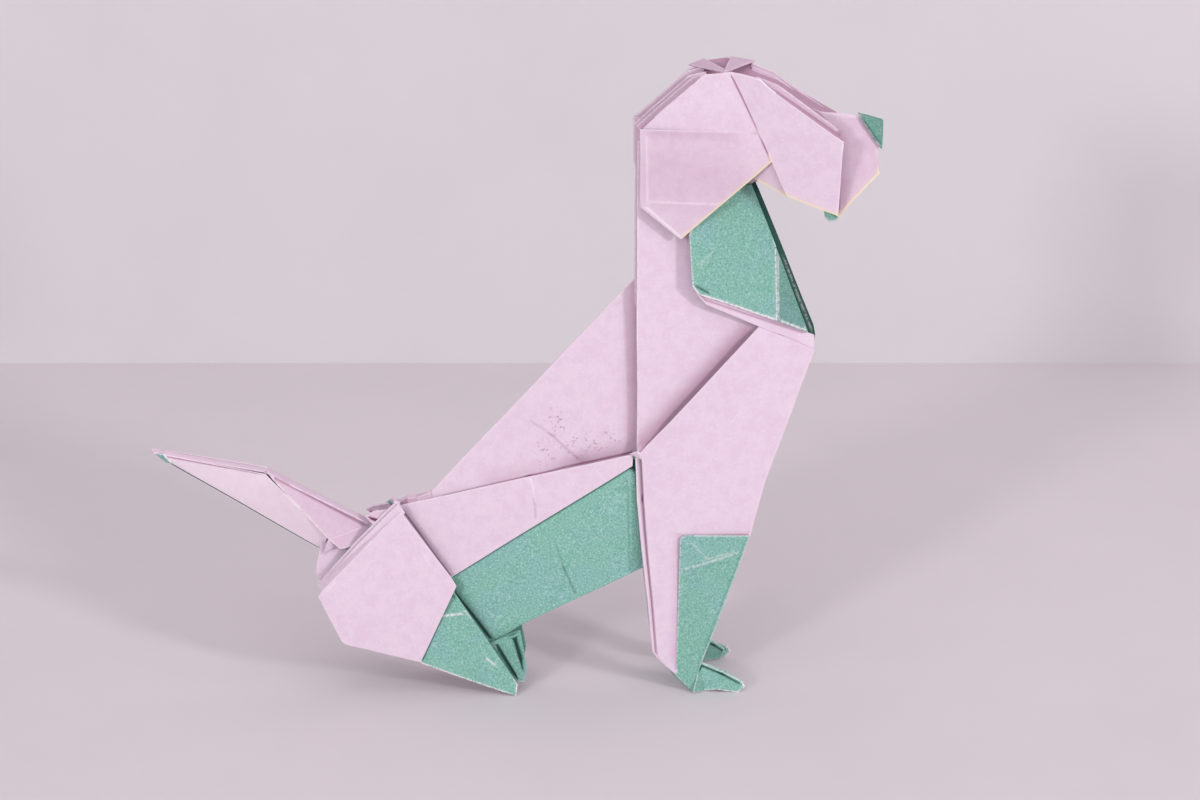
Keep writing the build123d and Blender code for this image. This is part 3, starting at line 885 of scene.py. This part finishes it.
def face(side):
    brow = lay_all(FACE_PLANE, *BROW[side])
    front = lay_all(FACE_PLANE, (41.1, 74.6), (41.0, 70.0), (40.85, 66.2), (34.9, 68.4))
    corners = (CROWN_FRONT, *brow, *front, CHEEK_LOW, CHEEK_BACK, FACE_FOLD)
    dog.facet(side, corners, "fwffwffccfhh", PINK, lining=PINK)
    # The lining under the cheek is darkened with painted shade.
    inner = (CHEEK_BACK, CHEEK_LOW, *lay_all(LINING_PLANE, (30.0, 70.7), (29.0, 74.2)))
    dog.facet(side, [raised(p, -0.3) for p in inner], "hchh", PINK, bow=0, shade_paint=0.2)


fold("head", skull, ear, face)

# %% [markdown]
# ## Pleats on the head
# Between its two sides the head is pleated inwards. Seen from the camera this is a bundle of
# edges: two steps behind the skull, a bow-shaped pair of pleats at the crown and thin layers
# along the brow. The valley walls close the head and are painted dark with shade, and thin
# upright layers stand in them.

# %% Pleats on the head
NAPE_VALLEY = (16.2, 0, 75.9)
MIDDLE_VALLEY = (23.9, 0, 82.3)
CROWN_VALLEY = (27.9, 0, 82.7)
TOP = (0, -0.3, 1)
BEHIND = (-0.7, 0.7, 0)


def valley_walls(side):
    brow = lay(FACE_PLANE, *BROW[side][1])
    tip = BROW_FRONT if side == NEAR else lay(FACE_PLANE, *BROW[side][-1])
    walls = (
        (CROWN_BACK, CROWN_TOP, MIDDLE_VALLEY),
        (CROWN_BACK, MIDDLE_VALLEY, NAPE_VALLEY),
        (CROWN_TOP, CROWN_FRONT, CROWN_VALLEY),
        (CROWN_TOP, CROWN_VALLEY, MIDDLE_VALLEY),
        (CROWN_FRONT, brow, CROWN_VALLEY),
        (brow, SNOUT_ROOT, CROWN_VALLEY),
        (brow, tip, SNOUT_ROOT),
    )
    # The valley walls are painted dark with shade.
    for corners in walls:
        dog.facet(side, corners, "hhh", PINK, bow=0, toward=TOP, shade_paint=1.3, lining=PINK)
    # The nape layers are darkened with painted shade.
    nape = ((CROWN_BACK, EAR_LOW, NAPE_LOW), (CROWN_BACK, NAPE_LOW, NAPE_VALLEY))
    for corners, edges in zip(nape, ("fhh", "hhh")):
        dog.facet(side, corners, edges, PINK, bow=0, toward=BEHIND, shade_paint=0.3)


def standing_layers(side):
    # All these thin layers are darkened with painted shade.
    for out, drop in ((2.35, 0.1), (1.2, 0.15)):
        along = 0.25 * (3.3 - out)
        crest = upright(out, (16.1 - along, 77.4 - drop), (22.9 - along, 83.4 - drop), (24.4, 83.9 - drop))
        corners = crest + upright(out, (24.0, 81.0), (17.5, 74.5))
        dog.facet(side, corners, "ffhhf", PINK, bow=0, shade_paint=0.35, lining=PINK)
    for out, drop, end in ((3.5, 0.0, 40.7), (2.7, 0.25, 40.2)):
        crest = [(30.6, out, 83.6 - drop), (33.2, out + 0.2, 82.5 - drop), (end, out + 1.1, 77.0 - drop)]
        corners = (*crest, (end - 2.0, out + 0.6, 75.5), (30.0, out, 81.0))
        dog.facet(side, corners, "ffhhh", PINK, bow=0, shade_paint=0.35, lining=PINK)
    nape = upright(0.25, (15.6, 77.9), (15.6, 72.0), (15.8, 71.5), (15.9, 35.5), (17.5, 36.0), (20.0, 76.0))
    dog.facet(side, nape, "fffhhh", PINK, bow=0, shade_paint=0.3, lining=PINK)


def crown_pleats():
    """The bow of two pleats at the very top, from the near crown to the far one."""
    rear = ((22.7, -3.5, 83.45), (24.6, -3.6, 84.15))
    front = ((28.0, -3.9, 84.4), (31.0, -4.3, 83.8))
    # The two pleats are darkened with painted shade.
    for wing in (rear, front):
        corners = ((26.5, 3.5, 84.35), *wing, (27.0, 3.3, 84.35))
        dog.facet(NEAR, corners, "fffh", PINK, bow=0.1, toward=TOP, shade_paint=0.6, lining=PINK)


fold("pleats", valley_walls, standing_layers)
crown_pleats()

# %% [markdown]
# ## Snout and core
# The snout is a pink layer that comes out between the two faces, and the nose is its end
# turned over to green. The core stands for the layers pressed flat in the middle.

# %% Snout, nose and core
SNOUT_PLANE = (SNOUT_ROOT, SNOUT_END, (46.3, 2.4, 70.7))
NOSE_EDGE = lay(SNOUT_PLANE, 46.35, 74.2)


def snout(side):
    low_edge = lay_all(SNOUT_PLANE, (46.1, 73.3), (46.35, 70.7), (42.3, 66.9), (41.2, 65.6), (36.4, 68.8))
    # Painted shade: the face's shadow on the snout is a soft band and a dark line, and the snout is darkened
    # as a whole.
    painted_shade_bands = [((41.6, 75.0), (41.7, 67.0), 0.35, 0.8)]
    line = [((41.3, 75.3), (41.2, 66.6), -0.8)]
    corners = (SNOUT_ROOT, SNOUT_END, NOSE_EDGE, *low_edge)
    dog.facet(side, corners, "fffhccch", PINK, line, shades=painted_shade_bands, shade_paint=0.4, lining=PINK)
    # The nose's dark line and darker green, and the chin's darker green, are painted shade.
    nose = ((43.9, 0.45, 77.85), (46.9, 0.3, 77.0), (46.65, 1.7, 73.8), raised(NOSE_EDGE, 0.45))
    line = [((44.2, 77.5), (46.4, 74.4), -1.0)]
    dog.facet(side, nose, "hhhf", GREEN, line, bow=0, shade_paint=0.5)
    chin = lay_all(SNOUT_PLANE, (39.4, 66.9), (39.5, 65.7), (40.0, 65.15), (40.9, 65.3), (41.4, 66.4))
    dog.facet(side, [raised(p, -0.25) for p in chin], "hfffh", GREEN, bow=0, shade_paint=0.3)


def core():
    """Layers pressed flat in the middle of the head and down into the neck."""
    top = (NAPE_VALLEY, *upright(0, (23.9, 82.2), (27.9, 82.6)), SNOUT_ROOT, SNOUT_END)
    corners = (*top, THROAT_TOP, THROAT_LOW, RIDGE_TOP, NAPE_LOW)
    dog.facet(NEAR, corners, "hhhhfhhhh", PINK, bow=0, layers=2)


fold("snout", snout)
core()
print("whole sheet:", len(dog.faces), "faces,", len(dog.points), "points")

# %% [markdown]
# ## Shader maths in plain Python
# A finish is a sum of small terms: grain, mottling, wear. Wiring Math nodes by hand hides
# that sum, so one small class wraps a socket and lets Python operators add the nodes.

# %% A socket with operators
class Value:
    """A number socket that understands + - * and writes the Math nodes."""

    def __init__(self, finish, socket):
        self.finish = finish
        self.socket = socket

    def _math(self, operation, a, b):
        node = self.finish.node("ShaderNodeMath", {"operation": operation}, {0: a, 1: b})
        return Value(self.finish, node.outputs[0])

    def __add__(self, other):
        return self._math("ADD", self, other)

    def __sub__(self, other):
        return self._math("SUBTRACT", self, other)

    def __mul__(self, other):
        return self._math("MULTIPLY", self, other)

    def __rsub__(self, other):
        return self._math("SUBTRACT", other, self)

    __radd__ = __add__
    __rmul__ = __mul__

    def ramp(self, start, end):
        """0 below start, 1 above end and smooth between."""
        inputs = {"Value": self, "From Min": start, "From Max": end}
        node = self.finish.node("ShaderNodeMapRange", {"interpolation_type": "SMOOTHSTEP"}, inputs)
        return Value(self.finish, node.outputs["Result"])


class Finish:
    """One material and the nodes added to it."""

    def __init__(self, name, roughness, specular):
        self.material = bpy.data.materials.new(name)
        self.material.use_nodes = True
        self.tree = self.material.node_tree
        self.shader = self.tree.nodes["Principled BSDF"]
        self.shader.inputs["Specular IOR Level"].default_value = specular
        self.shader.inputs["Roughness"].default_value = roughness
        self.place = self.node("ShaderNodeTexCoord", {}, {}).outputs["Object"]
        self.top = None

    def node(self, kind, settings, inputs):
        """Any node: its type, its settings first, then the values or links of its sockets."""
        node = self.tree.nodes.new(kind)
        for title, value in settings.items():
            setattr(node, title, value)
        for title, value in inputs.items():
            self.feed(node.inputs[title], value)
        return node

    def feed(self, socket, value):
        """Links a socket to a value, or sets it."""
        source = value.socket if isinstance(value, Value) else value
        if isinstance(source, bpy.types.NodeSocket):
            self.tree.links.new(source, socket)
        else:
            socket.default_value = source

    def attribute(self, title):
        node = self.node("ShaderNodeAttribute", {"attribute_name": title}, {})
        return Value(self, node.outputs["Fac"])

    def grain(self, size, detail=3.0, roughness=0.6):
        """Noise whose features are about size millimetres."""
        inputs = {"Vector": self.place, "Scale": 1 / (size * MM)}
        inputs.update({"Detail": detail, "Roughness": roughness})
        return Value(self, self.node("ShaderNodeTexNoise", {}, inputs).outputs["Fac"])

    def around(self, centre, reach):
        """1 near a point given in millimetres, fading to 0 at its reach."""
        spot = [value * MM for value in centre]
        node = self.node("ShaderNodeVectorMath", {"operation": "DISTANCE"}, {0: self.place, 1: spot})
        return Value(self, node.outputs["Value"]).ramp(reach * MM, 0.4 * reach * MM)

    def paint_over(self, colour, amount, ground=None):
        """Lays a colour over what is there so far, or over a ground, as strongly as amount.
        It lays the print and the wear, and the painted shade and light as well.
        """
        node = self.node("ShaderNodeMix", {"data_type": "RGBA"}, {"Factor": amount})
        under, over = [socket for socket in node.inputs if socket.type == "RGBA"]
        self.feed(under, self.top if ground is None else (*ground, 1.0))
        self.feed(over, (*colour, 1.0))
        self.top = [socket for socket in node.outputs if socket.type == "RGBA"][0]
        self.feed(self.shader.inputs["Base Color"], self.top)

    def bump(self, height, depth):
        """Relief of depth millimetres."""
        inputs = {"Height": height, "Distance": depth * MM, "Strength": 1.0}
        node = self.node("ShaderNodeBump", {}, inputs)
        self.feed(self.shader.inputs["Normal"], node.outputs["Normal"])


def srgb(red, green, blue):
    """A screen colour from 0 to 255 as the linear colour that a shader takes."""
    scaled = [value / 255 for value in (red, green, blue)]
    return tuple(v / 12.92 if v <= 0.04045 else ((v + 0.055) / 1.055) ** 2.4 for v in scaled)


# %% [markdown]
# ## The pink face
# This is the printed side of uncoated folding paper: nearly even, a little cloudy, with
# fibres that catch the light. Folds rub it paler, because the print wears off first where
# the paper is bent.

# %% Pink paper
PINK_INK = srgb(228, 207, 224)
PINK_DEEP = srgb(219, 190, 213)
PINK_SHADE = srgb(152, 92, 126)
BARE_PAPER_AND_PAINTED_LIGHT = srgb(248, 238, 243)
CREAM = srgb(240, 226, 176)
CRUMB = srgb(120, 78, 98)
CRUMB_REACH = 3.6
CRUMB_SPOTS = ((4.4, -3.0, 33.2), (8.2, -3.1, 33.9), (11.8, -3.2, 34.6), (5.6, -2.9, 37.4))


def pink_paper():
    finish = Finish("pink paper", 0.86, 0.25)
    cloud = finish.grain(1.6, 4.0, 0.7).ramp(0.35, 0.7)
    fibre = finish.grain(0.35, 2.0)
    crease_rub_and_shade = finish.attribute("crease_rub_and_shade")
    painted_shading = finish.attribute("painted_shading")
    finish.paint_over(PINK_DEEP, cloud * 0.5, PINK_INK)
    finish.paint_over(BARE_PAPER_AND_PAINTED_LIGHT, fibre.ramp(0.5, 0.9) * 0.35)
    # Painted shade: the facet's painted shading darkens the print towards a shaded pink, and below zero the
    # same number pales it with painted light.
    finish.paint_over(PINK_SHADE, painted_shading * 0.5)
    finish.paint_over(BARE_PAPER_AND_PAINTED_LIGHT, painted_shading * -0.5)
    rub = finish.attribute("worn") * finish.grain(0.8).ramp(0.35, 0.6)
    finish.paint_over(BARE_PAPER_AND_PAINTED_LIGHT, rub * 0.8)
    # Rubbed creases pale the print, and on the ear two such lines are a painted highlight; dark crease lines
    # and soft bands are painted shade.
    finish.paint_over(BARE_PAPER_AND_PAINTED_LIGHT, crease_rub_and_shade * 0.8)
    finish.paint_over(PINK_SHADE, crease_rub_and_shade * -0.8)
    near = sum(finish.around(spot, CRUMB_REACH) for spot in CRUMB_SPOTS)
    crumbs = finish.grain(0.4, 1.0).ramp(0.6, 0.66) * near
    finish.paint_over(CRUMB, crumbs * 0.65)
    finish.paint_over(CREAM, finish.attribute("raw") * 0.9)
    finish.bump(fibre * 0.6 + finish.grain(0.9) * 0.6, 0.03)
    return finish.material


# %% [markdown]
# ## The green face
# The green is a heavier print. White fibres and darker specks of ink break it up, it is
# cloudy from place to place, and at every fold and crease the white of the paper comes
# through in a broken line.

# %% Green paper
GREEN_INK = srgb(131, 185, 168)
GREEN_BLUE = srgb(137, 183, 181)
GREEN_SPECK = srgb(98, 154, 138)
GREEN_FIBRE = srgb(176, 214, 202)
GREEN_SHADE = srgb(28, 70, 60)


def green_paper():
    finish = Finish("green paper", 0.82, 0.3)
    cloud = finish.grain(6.0, 3.0).ramp(0.35, 0.7)
    crease_rub_and_shade = finish.attribute("crease_rub_and_shade")
    specks = finish.grain(0.24, 3.0, 0.7)
    finish.paint_over(GREEN_BLUE, cloud, GREEN_INK)
    finish.paint_over(GREEN_SPECK, specks.ramp(0.5, 0.3) * 0.9)
    finish.paint_over(GREEN_FIBRE, specks.ramp(0.5, 0.7) * 0.9)
    # Painted shade: the facet's painted shading darkens the green towards a shaded green.
    finish.paint_over(GREEN_SHADE, finish.attribute("painted_shading") * 0.8)
    rub = finish.attribute("worn") * finish.grain(0.45).ramp(0.34, 0.52)
    finish.paint_over(BARE_PAPER_AND_PAINTED_LIGHT, rub)
    scratch = crease_rub_and_shade * finish.grain(0.4).ramp(0.32, 0.55)
    finish.paint_over(BARE_PAPER_AND_PAINTED_LIGHT, scratch)
    # Dark crease lines and soft bands of painted shade.
    finish.paint_over(GREEN_SHADE, crease_rub_and_shade * -0.8)
    finish.paint_over(CREAM, finish.attribute("raw") * 0.9)
    finish.bump(specks * 0.6 + finish.grain(0.9) * 0.6, 0.03)
    return finish.material


# %% [markdown]
# ## The cut edge
# Where the square was trimmed, the core of the paper shows as a fine cream line.

# %% Cut edge
def cut_edge():
    finish = Finish("cut edge", 0.9, 0.2)
    fibre = finish.grain(0.25, 2.0)
    finish.paint_over(srgb(248, 240, 214), fibre.ramp(0.4, 0.7) * 0.5, CREAM)
    finish.bump(fibre, 0.02)
    return finish.material


# %% [markdown]
# ## One object
# The whole dog becomes one mesh with three materials, in the order of the numbers that the
# faces carry. The values at its points become attributes, which the finishes above read.

# %% Make the sheet and tie it to the frame
def as_object(folded, name, materials):
    mesh = bpy.data.meshes.new(name)
    mesh.from_pydata(folded.points, [], folded.faces)
    for material in materials:
        mesh.materials.append(material)
    mesh.polygons.foreach_set("material_index", folded.paint)
    mesh.polygons.foreach_set("use_smooth", [True] * len(folded.faces))
    for title, amounts in folded.marks.items():
        mesh.attributes.new(title, "FLOAT", "POINT").data.foreach_set("value", amounts)
    mesh.update()
    piece = bpy.data.objects.new(name, mesh)
    bpy.context.collection.objects.link(piece)
    return piece


sheet = as_object(dog, "folded_paper", [pink_paper(), green_paper(), cut_edge()])
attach(sheet, "root")
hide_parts("folded_sheet")
print("sheet", tuple(round(v / MM, 1) for v in sheet.dimensions), len(sheet.data.polygons), "faces")

# %% [markdown]
# ## Floor and backdrop
# The dog sits on a pale shelf with a pale wall some 13 cm behind it. A wall seen from behind
# would hide the dog in other views, so its material is see-through from the back.

# %% Shelf and wall
TURN = math.radians(2.5)
CAMERA_TILT = math.radians(20.5)
FLOOR_COLOUR = srgb(221, 211, 217)
WALL_COLOUR = srgb(217, 211, 216)


def plain(name, colour, one_sided=False):
    finish = Finish(name, 0.7, 0.2)
    spots = finish.grain(30.0, 2.0).ramp(0.3, 0.8)
    finish.paint_over(tuple(v * 0.9 for v in colour), spots * 0.25, colour)
    if one_sided:
        facing = finish.node("ShaderNodeNewGeometry", {}, {})
        clear_face = finish.node("ShaderNodeBsdfTransparent", {}, {})
        inputs = {0: facing.outputs["Backfacing"], 1: finish.shader.outputs[0], 2: clear_face.outputs[0]}
        blend = finish.node("ShaderNodeMixShader", {}, inputs)
        output = finish.tree.nodes["Material Output"]
        finish.feed(output.inputs["Surface"], blend.outputs[0])
    return finish.material


def panel(name, corners, material):
    mesh = bpy.data.meshes.new(name)
    mesh.from_pydata(corners, [], [tuple(range(len(corners)))])
    mesh.materials.append(material)
    piece = bpy.data.objects.new(name, mesh)
    bpy.context.collection.objects.link(piece)


REACH = 1.0
WALL_BEHIND = 0.126
WALL_HEIGHT = 1.2
right = Vector((math.cos(TURN), -math.sin(TURN), 0)) * REACH
foot = Vector((math.sin(TURN), math.cos(TURN), 0)) * WALL_BEHIND
rise = Vector((0, 0, WALL_HEIGHT))
ground = [(-REACH, -REACH, 0), (REACH, -REACH, 0), (REACH, REACH, 0), (-REACH, REACH, 0)]
upstand = [foot - right, foot + right, foot + right + rise, foot - right + rise]
panel("shelf", ground, plain("shelf paint", FLOOR_COLOUR))
panel("wall", upstand, plain("wall paint", WALL_COLOUR, True))
print("wall", WALL_BEHIND, "m behind the dog")

# %% [markdown]
# ## Light
# Two soft lamps stand left and right of the camera, as the paired shadows beside the bib and
# the neck show. A larger one above the camera and a pale world fill in. Together they light
# a facing surface at a level where its colour renders as it is written. The camera sees a
# brighter world than the one that lights the dog.

# %% World and lamps
WORLD_LIGHT = 0.33
WORLD_SEEN = 0.75
LAMP_AIM = Vector((0, 0, 0.04))

world = bpy.data.worlds.new("soft room")
bpy.context.scene.world = world
world.use_nodes = True
background = world.node_tree.nodes["Background"]
background.inputs["Color"].default_value = (1.0, 0.99, 1.0, 1.0)
light_path = world.node_tree.nodes.new("ShaderNodeLightPath")
strength = world.node_tree.nodes.new("ShaderNodeMapRange")
strength.inputs["To Min"].default_value = WORLD_LIGHT
strength.inputs["To Max"].default_value = WORLD_SEEN
world.node_tree.links.new(light_path.outputs["Is Camera Ray"], strength.inputs["Value"])
world.node_tree.links.new(strength.outputs["Result"], background.inputs["Strength"])


def lamp(name, azimuth, elevation, distance, size, share):
    """A soft square lamp that gives its share of full light to a surface that faces it."""
    turn = math.radians(azimuth)
    lift = math.radians(elevation)
    way = Vector((math.sin(turn) * math.cos(lift), -math.cos(turn) * math.cos(lift), math.sin(lift)))
    data = bpy.data.lights.new(name, "AREA")
    data.shape = "SQUARE"
    data.size = size
    data.energy = share * math.pi ** 2 * distance ** 2
    holder = bpy.data.objects.new(name, data)
    holder.location = way * distance + LAMP_AIM
    holder.rotation_mode = "QUATERNION"
    holder.rotation_quaternion = way.to_track_quat("Z", "Y")
    bpy.context.collection.objects.link(holder)


lamp("left lamp", -34, 19, 1.1, 0.14, 0.25)
lamp("right lamp", 50, 19, 1.1, 0.14, 0.35)
lamp("high lamp", 0, 58, 0.62, 0.7, 0.4)
print("lamps", len(bpy.data.lights))

# %% [markdown]
# ## Camera
# The camera looks down by 20.5 degrees and a little from the tail's side. Its lens and place
# come from the shelf's edges and the feet.

# %% Camera
CAMERA_DISTANCE = 0.377
LENS = 87
AIM = Vector((11.31, 0, 39.95)) * MM
level = math.cos(CAMERA_TILT)
sight = Vector((math.sin(TURN) * level, math.cos(TURN) * level, -math.sin(CAMERA_TILT)))
camera_data = bpy.data.cameras.new("camera")
camera_data.sensor_width = 36
camera_data.lens = LENS
camera = bpy.data.objects.new("camera", camera_data)
camera.location = AIM - sight * CAMERA_DISTANCE
camera.rotation_euler = (math.pi / 2 - CAMERA_TILT, 0, -TURN)
bpy.context.collection.objects.link(camera)
bpy.context.scene.camera = camera
bpy.context.scene.view_settings.view_transform = "Standard"
print("camera at", tuple(round(v / MM, 1) for v in camera.location))
